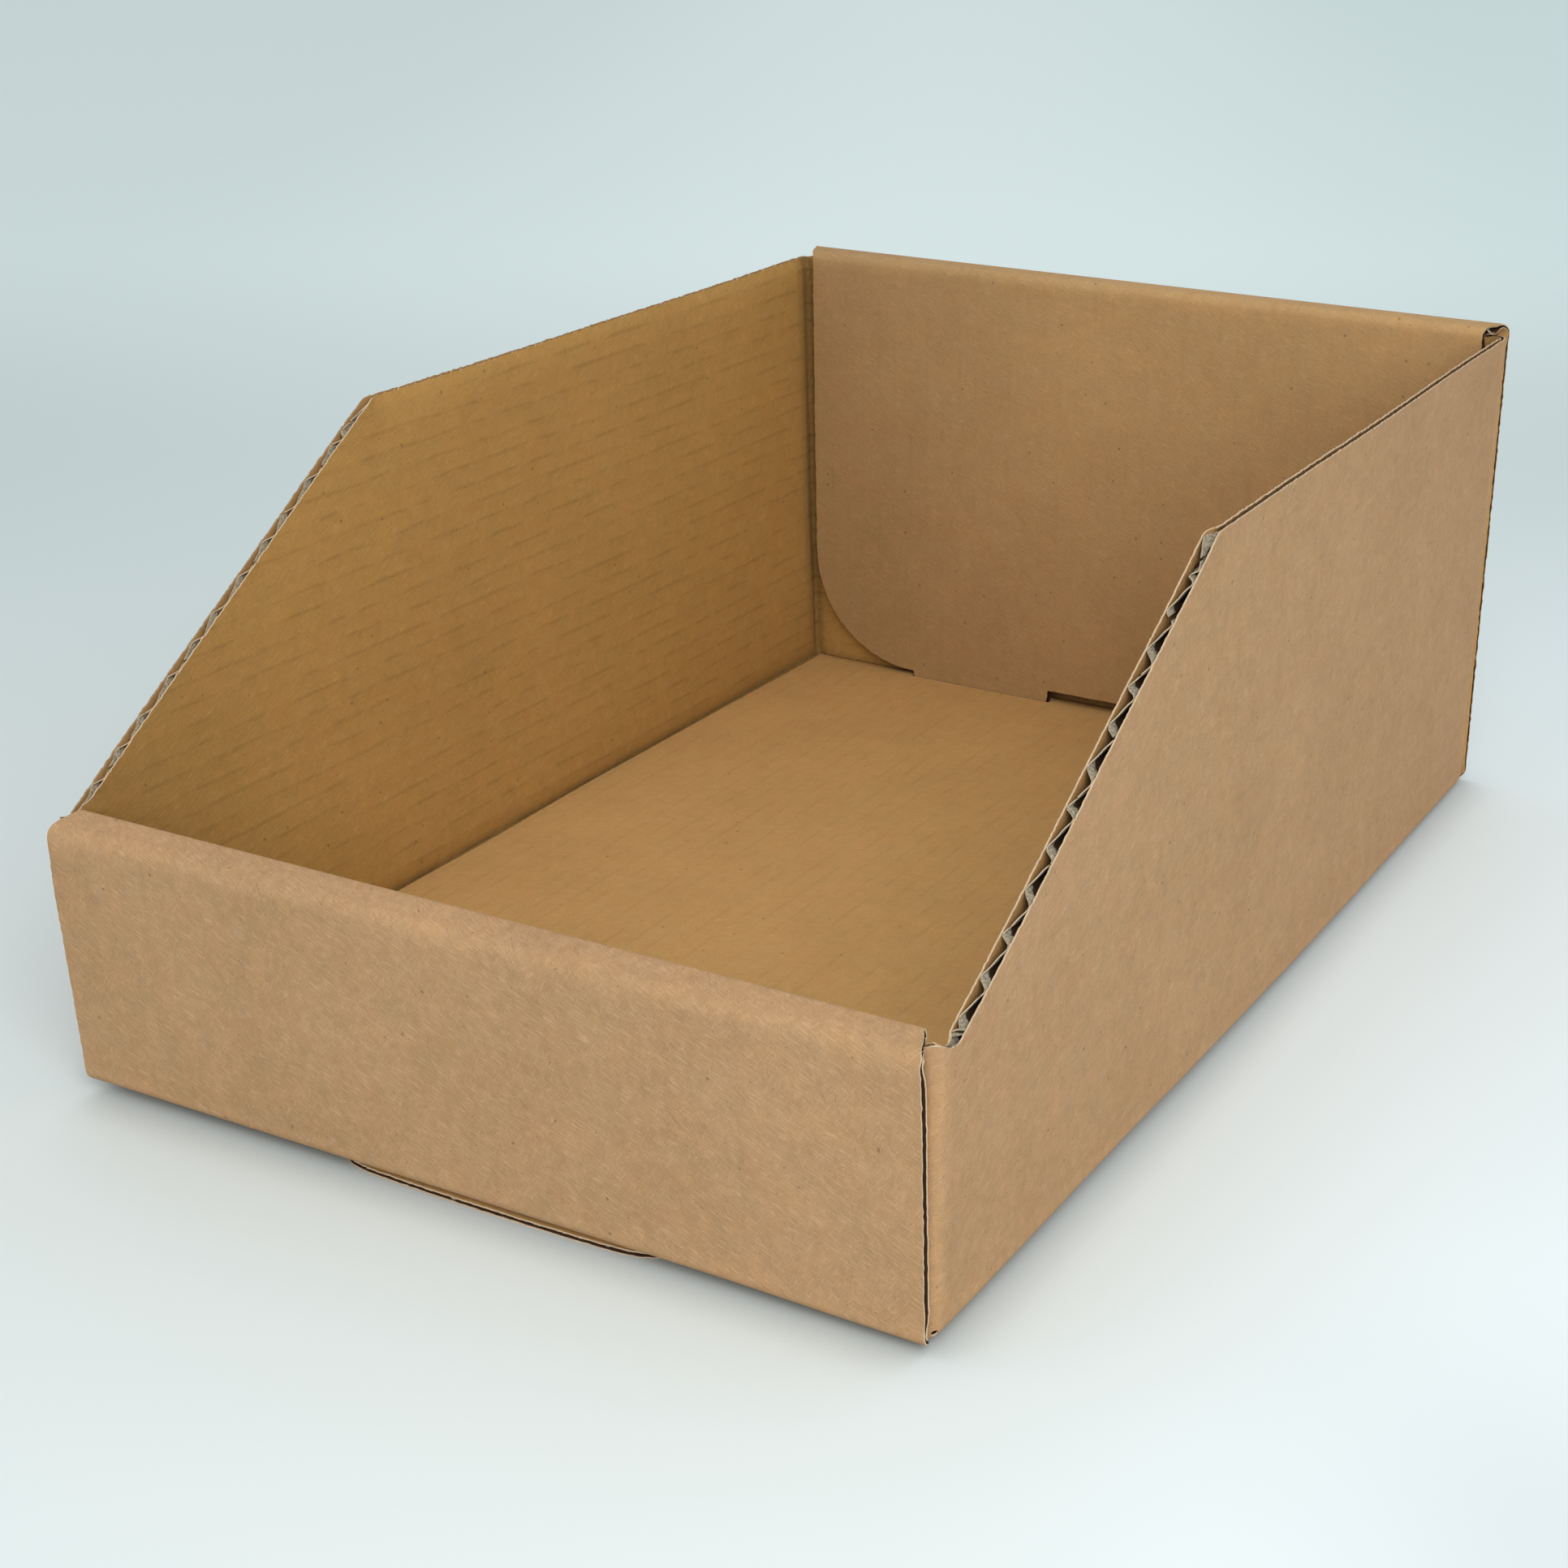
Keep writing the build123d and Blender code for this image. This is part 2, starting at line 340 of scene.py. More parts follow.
def strip_rings():
    """Outline of the long strip and of the slots in its base, u across and s along"""
    base = HALF - FOLD
    s_tab = s_of(1)
    s_front_foot = strip_path.folds[0][1] + 5.2
    s_band0, s_band1 = s_of(2), s_of(3)
    s_base0, s_base1 = strip_path.folds[3][1], strip_path.folds[4][0]
    s_back0, s_back1 = s_of(6), s_of(7)
    end = strip_path.length
    notch = end - 6.0
    corner_foot = end - 4.4
    tab = [
        (TAB_MIDDLE + TAB_HALF * t, 1.5 + 1.0 * t ** 2 + 4.2 * t ** 12)
        for t in np.linspace(-1, 1, 31)
    ]
    right = [
        (TAB_MIDDLE + TAB_HALF, s_tab),
        (TAB_MIDDLE + TAB_HALF, s_front_foot),
        *arc_points(INNER_HALF - 18, s_front_foot + 18, 18, -90, 0),
        (INNER_HALF, s_band0),
        (PANEL_HALF - 0.2, s_band1),
        (PANEL_HALF, s_band1 + 12.0),
        (PANEL_HALF, s_of(4) - 0.6),
        (PANEL_HALF - 0.5, s_base0 - 0.4),
        (base, s_base0 + 1.2),
        (base, s_base1 - 1.2),
        (PANEL_HALF - 0.9, s_base1 + 0.6),
        (PANEL_HALF + 1.0, s_of(5) + 1.6),
        (PANEL_HALF + 1.0, s_back0 - 1.0),
        (INNER_HALF, s_back1 + 1.0),
        *arc_points(INNER_HALF - 32, corner_foot - 32, 32, 0, 90, 20),
        (BACK_TAB_OUT, corner_foot),
        (BACK_TAB_OUT - 0.8, end),
        (BACK_TAB_IN + 0.8, end),
        (BACK_TAB_IN, notch),
    ]
    wider = {s_band1 + 12.0: 1.0, s_of(4) - 0.6: 1.2, s_base0 - 0.4: 0.4, s_band1: 0.2}
    left = [(-u - wider.get(s, 0.0), s) for u, s in reversed(right[2:])]
    left += [(TAB_MIDDLE - TAB_HALF, s_front_foot), (TAB_MIDDLE - TAB_HALF, s_tab)]
    outer = tab + right + left
    base_y = s_base0 - (FRONT + FOLD)
    slots = []
    for u0, u1, y in (
        (TAB_MIDDLE - TAB_HALF - SLOT_SPARE, TAB_MIDDLE + TAB_HALF + SLOT_SPARE, -SLOT_Y),
        (BACK_TAB_IN - BACK_SLOT_SPARE, BACK_TAB_OUT + BACK_SLOT_SPARE, SLOT_Y),
        (-BACK_TAB_OUT - BACK_SLOT_SPARE, -BACK_TAB_IN + BACK_SLOT_SPARE, SLOT_Y),
    ):
        s0, s1 = y - SLOT_HALF + base_y, y + SLOT_HALF + base_y
        slots.append([(u0, s0), (u1, s0), (u1, s1), (u0, s1)])
    return outer, slots


# The side walls: front flap, wall and back flap, with the lower fold into the base


wall_path = Path(
    [(30.0, WALL_FRONT), (HALF, WALL_FRONT), (HALF, WALL_BACK), (30.0, WALL_BACK)],
    [FOLD, FOLD],
)
P_FRONT = wall_path.folds[0][1]
P_BACK = wall_path.folds[1][0]
P_OF_Y = P_FRONT - (WALL_FRONT + FOLD)
FOOT = FOLD - FOLD * math.pi / 2
FRONT_FLAP = wall_path.folds[0][0]
BACK_FLAP = wall_path.folds[1][1]
P_FOOT, P_TOP = SLOPE_FOOT + P_OF_Y, SLOPE_TOP + P_OF_Y


def wall_bow(y, z, bow, lean, open_front):
    """How far a side wall stands outward of its plane: bowed along its top, leaning at its back and front"""
    t = np.clip((y - WALL_FRONT) / (WALL_BACK - WALL_FRONT), 0, 1)
    rise = np.clip(z / SIDE_TOP, 0, 1)
    rear = np.clip((t - 0.55) / 0.4, 0, 1)
    front = open_front * np.clip((-15.0 - y) / 129.0, 0, 1) * np.clip(z / LOW_RUN, 0, 1)
    back = lean * rear ** 2 * (0.55 + 0.45 * rise) * np.clip(z / 5, 0, 1)
    return bow * np.sin(math.pi * t ** 0.67) * rise + front + back


def wall_place(p, q, depth, side, bow, lean, open_front):
    """Where a point of a side wall lies: p along the plan path, q up, depth under its outer face"""
    p, q = np.asarray(p, float), np.asarray(q, float)
    depth = np.full(len(p), depth) if np.isscalar(depth) else depth
    place, heading = wall_path.at(p)
    outward = np.stack([heading[:, 1], -heading[:, 0]], 1)
    in_wall = np.clip((p - FRONT_FLAP) / (P_FRONT - FRONT_FLAP), 0, 1)
    in_wall *= np.clip((BACK_FLAP - p) / (BACK_FLAP - P_BACK), 0, 1)
    upright = wall_path.near_fold(p, 2.0)
    lower = np.exp(-((np.maximum(0, q - FOLD) / 2.0) ** 2)) * in_wall
    level = np.clip((P_FOOT + 1.5 - p) / 3.0, 0, 1) + np.clip((p - P_TOP + 1.0) / 4.0, 0, 1)
    rim = np.where(p < P_FOOT + 3, LOW_RUN + 0.6, SIDE_TOP)
    crushed = level * np.exp(-((np.maximum(0, rim - q) / 2.0) ** 2)) * in_wall
    squeeze = (1 - FOLD_CRUSH * np.maximum(upright, lower)) * (1 - RIM_CRUSH * crushed)
    top = np.clip(q / CREASE_Z, 0, 1)
    flap_in = np.clip((HALF - FOLD - place[:, 0]) / 5.0, 0, 1) * (p < FRONT_FLAP)
    squeeze = squeeze * (1 - FLAP_CRUSH * top * flap_in)
    if side < 0:
        squeeze = squeeze * (1 - LEFT_CRUSH * in_wall * smooth(q, 20.0, 50.0))
    wobble = soft_noise(p, q, 23, 110) * 0.2 * (1 - np.maximum(upright, lower)) * (in_wall > 0)
    inward = depth * squeeze - wobble
    x = place[:, 0] - outward[:, 0] * inward
    y = place[:, 1] - outward[:, 1] * inward - flap_in * top * 1.1
    angle = np.clip((FOLD - q) / FOLD, 0, math.pi / 2)
    bent = np.sqrt(in_wall) * (q < FOLD)
    tuck = bent * (FOLD - inward) * (np.cos(angle) - 1)
    x, y = x + outward[:, 0] * tuck, y + outward[:, 1] * tuck
    rounded = FOLD - (FOLD - inward) * np.sin(angle)
    z = np.where(q < FOLD, (1 - bent) * np.maximum(q, 0) + bent * rounded, q)
    x = x + wall_bow(y, z, bow, lean, open_front) * (1 - np.clip((HALF - x) / 30, 0, 1))
    return sagged(np.stack([x * side, y, z], 1))


def wall_rings(foot):
    """Outline of a side wall with its two flaps, and its relief hole where three creases meet"""
    end = wall_path.length
    slope = math.atan2(SIDE_TOP - LOW_RUN, P_TOP - foot)
    foot_radius, top_radius, hole = 3.5, 3.0, 0.85
    foot_cut = foot_radius * math.tan(slope / 2)
    top_cut = top_radius * math.tan(slope / 2)
    turn = math.degrees(slope)
    outline = [
        (0.0, 12.2),
        (8.0, 4.2),
        (FRONT_FLAP - 2.0, 4.2),
        (FRONT_FLAP - 0.2, 2.2),
        (FRONT_FLAP + 0.2, 0.2),
        (FRONT_FLAP + 1.3, -1.2),
        (P_FRONT - 0.3, FOOT),
        (P_BACK + 0.3, FOOT),
        (BACK_FLAP - 1.3, -1.2),
        (BACK_FLAP - 0.2, 0.2),
        (BACK_FLAP + 0.3, 2.2),
        (BACK_FLAP + 1.6, 3.1),
        (end - 8.0, 3.1),
        (end, 11.2),
        (end, SIDE_TOP - 0.6),
        (BACK_FLAP + 3.0, SIDE_TOP),
        *arc_points(P_TOP + top_cut, SIDE_TOP - top_radius, top_radius, 90, 90 + turn, 5),
        *arc_points(foot - foot_cut, LOW_RUN + foot_radius, foot_radius, -90 + turn, -90, 7),
        (P_FRONT + 0.3 * (foot - P_FRONT), LOW_RUN + 0.3),
        (P_FRONT, LOW_RUN + 1.1),
        (FRONT_FLAP + 2.0, LOW_RUN + 2.0),
        (FRONT_FLAP - 1.0, LOW_RUN + 1.4),
        (FRONT_FLAP - 4.0, LOW_RUN - 1.4),
        (0.0, LOW_RUN - 1.8),
    ]
    relief = arc_points(FRONT_FLAP + 2.4, 1.3, hole, 0, 330, 12)
    return outline, relief


# Fluted medium


def column_spans(u, outline):
    """Where a line of constant u lies inside the outline, as pairs of v"""
    cuts = []
    for (u0, v0), (u1, v1) in zip(outline, np.roll(outline, -1, axis=0)):
        if (u0 > u) != (u1 > u):
            cuts.append(v0 + (v1 - v0) * (u - u0) / (u1 - u0))
    cuts.sort()
    return list(zip(cuts[0::2], cuts[1::2]))


def flute_rows(v0, v1, reach, whole, cut_low, cut_high):
    """Where a flute is divided beside its cut ends, or all along it where it is shown whole"""
    near = [*NEAR_CUT, reach]
    if not (whole or cut_low or cut_high):
        return []
    if v1 - v0 < 2 * reach + 1:
        return [np.linspace(v0, v1, SHORT_ROWS)]
    first = [v0 + d for d in near]
    last = [v1 - d for d in reversed(near)]
    if whole:
        steps = 2 + int((v1 - v0 - 2 * reach) / ROW_STEP)
        return [np.array(first + list(np.linspace(v0 + reach, v1 - reach, steps)[1:-1]) + last)]
    return [np.array(rows) for rows, cut in ((first, cut_low), (last, cut_high)) if cut]


def join_columns(before, now):
    """Faces between two neighbouring columns of the medium, where they are divided alike"""
    faces = []
    if len(before) == len(now):
        for (fa, rows_a), (fb, rows_b) in zip(before, now):
            alike = len(rows_a) == len(rows_b) and abs(rows_a[0] - rows_b[0]) < 2.5
            if alike and abs(rows_a[-1] - rows_b[-1]) < 2.5:
                faces += [(fa + k, fb + k, fb + k + 1, fa + k + 1) for k in range(len(rows_a) - 1)]
    return faces


def flute_sheet(ring, reach, whole, stretches, inset, rng):
    """The medium beside the cut edges of a region, still flat: flutes run along v, one sheet a stretch"""
    outline = np.array(ring, float)
    columns = np.arange(outline[:, 0].min() + inset, outline[:, 0].max() - inset, PITCH / FLUTE_STEPS)
    frayed = rng.normal(0, FRAY, (len(columns), 2))
    frayed = (frayed + np.roll(frayed, 1, axis=0)) / 1.4
    points, faces, inward = [], [], []
    for v_low, v_high in stretches:
        before = []
        for u, (f0, f1) in zip(columns, frayed):
            now = []
            shown = any(a <= u <= b for a, b in whole)
            for cut0, cut1 in column_spans(u, outline):
                v0, v1 = max(cut0 + 0.15 + f0, v_low), min(cut1 - 0.15 - f1, v_high)
                if v1 - v0 < 0.6:
                    continue
                for rows in flute_rows(v0, v1, reach, shown, v0 > v_low, v1 < v_high):
                    now.append((len(points), rows))
                    points += [(u, v) for v in rows]
                    inward += [min(reach, abs(v - cut0), abs(v - cut1)) for v in rows]
            faces += join_columns(before, now)
            before = now
    return np.array(points), faces, np.array(inward)


def flute_wave(u, phase):
    """Depth of the wavy medium under the outer face, leaning over to one side as it does in the board"""
    angle = 2 * math.pi * u / PITCH + phase
    angle = angle + 0.30 * np.sin(u * 0.37 + 1.3) + 0.22 * np.sin(u * 0.83)
    return BOARD / 2 + SWING * np.sin(angle + FLUTE_LEAN * np.sin(angle))


def close_rim(depth, height, rim):
    """Crushes the medium along a level cut edge, so that it bridges the gap between the liners"""
    down = np.clip((height - rim + 3.2) / 1.2, 0, 1)
    over = np.clip((height - rim + 2.0) / 1.4, 0, 1)
    lid = BOARD / 2 + SWING * (2 * over - 1)
    return depth * (1 - down) + lid * down


# Materials


class Nodes:
    """Short helper for building a node tree"""

    def __init__(self, name):
        self.material = bpy.data.materials.new(name)
        self.material.use_nodes = True
        self.tree = self.material.node_tree
        self.shader = self.tree.nodes["Principled BSDF"]

    def new(self, kind, **values):
        node = self.tree.nodes.new(kind)
        for key, value in values.items():
            setattr(node, key, value)
        return node

    def put(self, socket, value):
        if isinstance(value, bpy.types.NodeSocket):
            self.tree.links.new(value, socket)
        else:
            socket.default_value = value

    def math(self, operation, a, b=None, c=None):
        node = self.new("ShaderNodeMath", operation=operation)
        for socket, value in zip(node.inputs, (a, b, c)):
            if value is not None:
                self.put(socket, value)
        return node.outputs[0]

    def vector(self, operation, a, b=None, scale=None):
        node = self.new("ShaderNodeVectorMath", operation=operation)
        self.put(node.inputs[0], a)
        if b is not None:
            self.put(node.inputs[1], b)
        if scale is not None:
            self.put(node.inputs["Scale"], scale)
        return node.outputs[0]

    def noise(self, vector, size, detail, roughness=0.5, dimensions="3D"):
        """Noise whose features are about size millimetres"""
        node = self.new("ShaderNodeTexNoise", noise_dimensions=dimensions)
        self.put(node.inputs["Vector"], vector)
        node.inputs["Scale"].default_value = 1.0 / size
        node.inputs["Detail"].default_value = detail
        node.inputs["Roughness"].default_value = roughness
        return node.outputs[0]

    def ramp(self, value, low, high, to_low=0.0, to_high=1.0):
        node = self.new("ShaderNodeMapRange", interpolation_type="SMOOTHSTEP")
        self.put(node.inputs["Value"], value)
        for key, v in (("From Min", low), ("From Max", high), ("To Min", to_low), ("To Max", to_high)):
            node.inputs[key].default_value = v
        return node.outputs[0]

    def mix(self, factor, a, b, blend="MIX"):
        node = self.new("ShaderNodeMix", data_type="RGBA", blend_type=blend)
        self.put(node.inputs[0], factor)
        self.put(node.inputs[6], a)
        self.put(node.inputs[7], b)
        return node.outputs[2]

    def bump(self, height, strength, distance):
        node = self.new("ShaderNodeBump")
        self.put(node.inputs["Height"], height)
        node.inputs["Strength"].default_value = strength
        node.inputs["Distance"].default_value = distance
        return node.outputs[0]

    def finish(self, colour, roughness, specular, normal):
        """Sets the shader's own sockets"""
        for key, value in (("Base Color", colour), ("Roughness", roughness),
                           ("Specular IOR Level", specular), ("Normal", normal)):
            self.put(self.shader.inputs[key], value)
        return self.material


def flat_noise(n, sheet, size, detail, roughness=0.5):
    """Noise in the plane of the sheet, with features about size millimetres"""
    return n.noise(sheet, size, detail, roughness, "2D")


def strokes(n, sheet, angle, width, length, shift):
    """Short straight fibres lying at one angle in the sheet"""
    node = n.new("ShaderNodeMapping", vector_type="TEXTURE")
    n.put(node.inputs["Vector"], sheet)
    node.inputs["Location"].default_value = (shift, shift * 0.7, 0)
    node.inputs["Rotation"].default_value = (0, 0, math.radians(angle))
    node.inputs["Scale"].default_value = (length, width, 1)
    return flat_noise(n, node.outputs[0], 1.0, 1.5, 0.6)


def grey(n, value):
    """A number as a vector of three equal parts"""
    node = n.new("ShaderNodeCombineXYZ")
    for socket in node.inputs:
        n.put(socket, value)
    return node.outputs[0]


def fibre_marks(n, sheet, grain, mottle):
    """The two straight layers of fibres, and the strokes that they and the curled ones make"""
    patch = flat_noise(n, sheet, 12.0, 1.0)
    swirl = grey(n, flat_noise(n, sheet, 6.0, 1.0))
    leaning = n.vector("ADD", sheet, n.vector("SCALE", swirl, scale=0.9))
    curling = n.vector("ADD", sheet, n.vector("SCALE", swirl, scale=5.5))
    first = strokes(n, leaning, grain[0], 0.34, 3.8, 3.1)
    second = strokes(n, leaning, grain[1], 0.34, 3.0, 8.3)
    hairs = strokes(n, curling, grain[0] + 40.0, 0.30, 3.4, 5.7)
    light = n.math("MULTIPLY", n.ramp(first, 0.55, 0.70), n.ramp(patch, 0.32, 0.58, 0.40, 1.0))
    cross = n.math("MULTIPLY", n.ramp(second, 0.56, 0.71), n.ramp(patch, 0.60, 0.38, 0.30, 1.0))
    dark = n.math("MULTIPLY", n.ramp(hairs, 0.60, 0.72), n.ramp(mottle, 0.42, 0.58, 0.4, 1.0))
    return first, second, light, cross, dark


def flute_marks(n, sheet, across, pitch, phase):
    """The flutes showing through the liner: their wave, and the broken dark lines along them"""
    wave = n.math("SINE", n.math("MULTIPLY_ADD", across, 2 * math.pi / pitch, phase))
    broken = n.ramp(strokes(n, sheet, 90.0, 2.0, 11.0, 5.0), 0.38, 0.62)
    return wave, n.math("MULTIPLY", n.ramp(wave, 0.62, 1.0), broken)


def kraft(name, base, grain, washboard, fibre=1.0, crease=0.08, pitch=PITCH, phase=0.0, shade_ramp=None):
    """Kraft liner: clouds, mottling, straight and curved fibres, specks and the flutes showing through"""
    n = Nodes(name)
    sheet = n.vector("SCALE", n.new("ShaderNodeUVMap", uv_map="sheet").outputs[0], scale=1000.0)
    parts = n.new("ShaderNodeSeparateXYZ")
    n.put(parts.inputs[0], sheet)
    cloud = flat_noise(n, sheet, 30.0, 4.0, 0.6)
    mottle = flat_noise(n, sheet, 2.0, 2.5, 0.65)
    grit = flat_noise(n, sheet, 0.34, 1.0, 0.6)
    blotch = flat_noise(n, sheet, 5.5, 2.0, 0.55)
    speck = n.ramp(flat_noise(n, sheet, 1.5, 0.0), 0.905, 0.92)
    first, second, light, cross, dark = fibre_marks(n, sheet, grain, mottle)
    wave, stripes = flute_marks(n, sheet, parts.outputs[0], pitch, phase)
    folded = n.new("ShaderNodeAttribute", attribute_name="crease").outputs["Fac"]
    # Fold tone, scaled by crease: with a positive share the folds turn lighter in patches, rubbed paper and
    # a painted highlight; with a negative share, as on the inner liners, they turn darker: painted shade in
    # the hollows of the folds
    fold_rub_and_shade = n.math("MULTIPLY", folded, n.ramp(mottle, 0.30, 0.66, 0.65, 1.0))

    tone = 1.0 - 0.03 * fibre
    for noise, share in ((cloud, 0.20), (mottle, 0.24 * fibre), (blotch, 0.20 * fibre), (grit, 0.22)):
        tone = n.math("MULTIPLY_ADD", n.math("SUBTRACT", noise, 0.5), share, tone)
    for mark, share in ((light, 0.10 * fibre), (cross, 0.08 * fibre), (dark, -0.20 * fibre),
                        (stripes, -0.20 * washboard), (fold_rub_and_shade, crease), (speck, -0.35)):
        tone = n.math("MULTIPLY_ADD", mark, share, tone)
    # Painted shade: the tone is darkened to least at start along one axis of the sheet, rising to full by
    # end
    if shade_ramp is not None:
        axis, start, end, least = shade_ramp
        tone = n.math("MULTIPLY", tone, n.ramp(parts.outputs[axis], start, end, least, 1.0))
    warm = tuple(c * k for c, k in zip(base[:3], (1.02, 0.99, 0.965))) + (1.0,)
    hue = n.mix(n.ramp(flat_noise(n, sheet, 9.0, 2.0, 0.6), 0.38, 0.62), base, warm)
    pale = n.math("MULTIPLY", n.math("MAXIMUM", light, n.math("MULTIPLY", cross, 0.7)), 0.028 * fibre)
    colour = n.vector("ADD", n.vector("MULTIPLY", hue, grey(n, tone)), grey(n, pale))
    hair = n.math("ADD", first, n.math("MULTIPLY", second, 0.7))
    height = n.math("MULTIPLY_ADD", wave, 0.30 * washboard, n.math("MULTIPLY", hair, fibre))
    return n.finish(colour, n.ramp(cloud, 0.3, 0.7, 0.93, 0.84), 0.22, n.bump(height, 0.5, 0.00018))


def object_place(n):
    """The place of a point on the piece, in millimetres"""
    return n.vector("SCALE", n.new("ShaderNodeTexCoord").outputs["Object"], scale=1000.0)


def raw_edge(name, base):
    """Cut paper: pale, dry and hairy"""
    n = Nodes(name)
    place = object_place(n)
    fuzz = n.noise(place, 0.35, 3.0, 0.7)
    patch = n.math("SUBTRACT", n.noise(place, 2.5, 2.0), 0.5)
    tone = n.math("ADD", n.ramp(fuzz, 0.25, 0.75, 0.80, 1.15), n.math("MULTIPLY", patch, 0.3))
    colour = n.vector("MULTIPLY", base[:3], grey(n, tone))
    return n.finish(colour, 0.95, 0.1, n.bump(fuzz, 0.6, 0.0002))


def flute_face(name):
    """The face of the medium: crushed and grey beside the cut; deeper in, painted shade, near black, with a
    ragged edge
    """
    n = Nodes(name)
    place = object_place(n)
    fuzz = n.noise(place, 0.5, 3.0, 0.7)
    inward = n.new("ShaderNodeAttribute", attribute_name="crease").outputs["Fac"]
    ragged_shade_depth = n.math("MULTIPLY_ADD", n.math("SUBTRACT", n.noise(place, 1.6, 2.0), 0.5), 2.4, inward)
    lit = n.mix(n.ramp(fuzz, 0.3, 0.7), (0.16, 0.135, 0.095, 1.0), (0.47, 0.41, 0.30, 1.0))
    # Painted shade: past about 2.3 to 2.9 mm in from the cut the medium turns near black, for the shade
    # inside the flutes
    colour = n.mix(n.ramp(ragged_shade_depth, 2.3, 2.9), lit, (0.035, 0.020, 0.010, 1.0))
    return n.finish(colour, 0.95, 0.1, n.bump(fuzz, 0.7, 0.0002))


# Directions of the two layers of fibres, in degrees
STRIP_GRAIN, BASE_GRAIN = (22.0, -58.0), (20.0, -60.0)
WALL_GRAIN, WALL_INNER_GRAIN = (65.0, 8.0), (65.0, -30.0)

strip_outer = kraft("kraft_strip", (0.398, 0.242, 0.121, 1.0), STRIP_GRAIN, 0.12)
# Painted shade: where the outer liner lines the back wall inside the tray it takes this warmer copy of its
# material, darker towards its left end by the back-left corner
back_panel_shaded = kraft("kraft_back_panel_shaded", (0.420, 0.261, 0.115, 1.0), STRIP_GRAIN, 0.15, 0.6,
                    shade_ramp=(0, -99.0, 0.0, 0.84))
# The base's inner liner: its negative crease share paints shade into the hollows of its folds
strip_inner = kraft("kraft_base", (0.530, 0.314, 0.116, 1.0), BASE_GRAIN, 0.35, 0.5, -0.30)
wall_outer = kraft("kraft_wall", (0.394, 0.238, 0.120, 1.0), WALL_GRAIN, 0.1, 0.85)
# The walls' inner liner: painted shade darkens its tone towards the walls' front, to 0.80 at the front fold,
# and its negative crease share paints shade into the hollows of its folds
wall_inner = kraft("kraft_wall_inner", (0.398, 0.229, 0.066, 1.0), WALL_INNER_GRAIN, 0.65, 0.65, -0.42,
                   4.72, -2.44, (1, P_FRONT, P_FRONT + 80.0, 0.80))
cut_edge = raw_edge("cut_edge", (0.56, 0.42, 0.28, 1.0))
# Painted shade: a darker copy of cut_edge for cut edges that lie in shade, on the back wall and on the left
# wall's outer liner
shaded_cut_edge = raw_edge("shaded_cut_edge", (0.33, 0.23, 0.13, 1.0))
flute_side = raw_edge("flute_side", (0.42, 0.235, 0.09, 1.0))
# Painted shade: a near-black colour for the liners' faces inside the flutes, where shade falls; raw_edge
# gives it its fuzz
flute_shade = raw_edge("flute_shade", (0.075, 0.036, 0.018, 1.0))
medium_face = flute_face("medium_face")
medium_edge = raw_edge("medium_edge", (0.46, 0.365, 0.25, 1.0))


# The plies of the long strip


def strip_liner(label, depth, material, rear_material, rear_from, outline, slots, rng):
    """One liner of the long strip; past rear_from it has the material of the back wall, on the outer liner
    the warmer copy with painted shade, and on both liners the shaded copy of the cut edge on its rim
    """
    rings = [ragged(outline, 1.0, 0.06, rng)] + [ragged(r, 1.2, 0.04, rng) for r in slots]
    across = np.arange(-99, 99.1, GRID)
    flat, faces = triangulate(rings, across, strip_path.stations(GRID, FOLD_GRID), 0.45)
    piece = make_piece(
        "strip_" + label + "_liner",
        strip_place(flat[:, 0], flat[:, 1], depth),
        faces[:, ::-1] if label == "outer" else faces,
        [material, cut_edge, flute_shade, rear_material, shaded_cut_edge, flute_shade],
        flat,
        strip_path.near_fold(flat[:, 1], 1.6),
    )
    rear = flat[faces, 1].min(1) > rear_from
    piece.data.polygons.foreach_set("material_index", np.where(rear, 3, 0).astype(np.int32))
    settle(thicken(piece, LINER, 2))


def strip_medium(outline, rng):
    """The strip's medium, whole beside its two ends; it lies on the inner liner in the flattened tab"""
    flat_runs = [(a, b) for kind, a, b, *_ in strip_path.parts if kind == "line"]
    flat, faces, inward = flute_sheet(outline, 9.0, [(-100, -88), (88, 100)], flat_runs, 2.2, rng)
    s = flat[:, 1]
    wave = flute_wave(flat[:, 0], 0.6)
    in_tab = s < strip_path.folds[0][0] - 1
    wave = np.where(in_tab, BOARD - LINER - MEDIUM * (1.5 - 0.6 * (wave - 1.5)), wave)
    # From the tab's fold to just past the front crease, in the inner front panel and the band, the medium
    # counts as deep in, so all of it there takes the painted shade
    in_band = (s > s_of(1)) & (s < s_of(3) + 6.0)
    inward = np.where(in_band, 6.0, inward)
    piece = make_piece("strip_medium", strip_place(flat[:, 0], s, wave), faces,
                       [medium_face, medium_edge], flat, inward)
    settle(thicken(piece, MEDIUM))


rng = np.random.default_rng(4)
outline, slots = strip_rings()
base_end, panel_end = strip_path.folds[4][1], strip_path.folds[5][1]
strip_liner("outer", LINER / 2, strip_outer, back_panel_shaded, panel_end, outline, slots, rng)
strip_liner("inner", BOARD - LINER / 2, strip_inner, strip_inner, base_end, outline, slots, rng)
strip_medium(outline, rng)


# The plies of the two side walls

Q_STATIONS = sorted([
    *np.linspace(FOOT, FOLD, 9), 4.0, 5.4, *np.arange(9, 115, GRID),
    SIDE_TOP - 3.4, SIDE_TOP - 2.2, SIDE_TOP - 1.2,
])


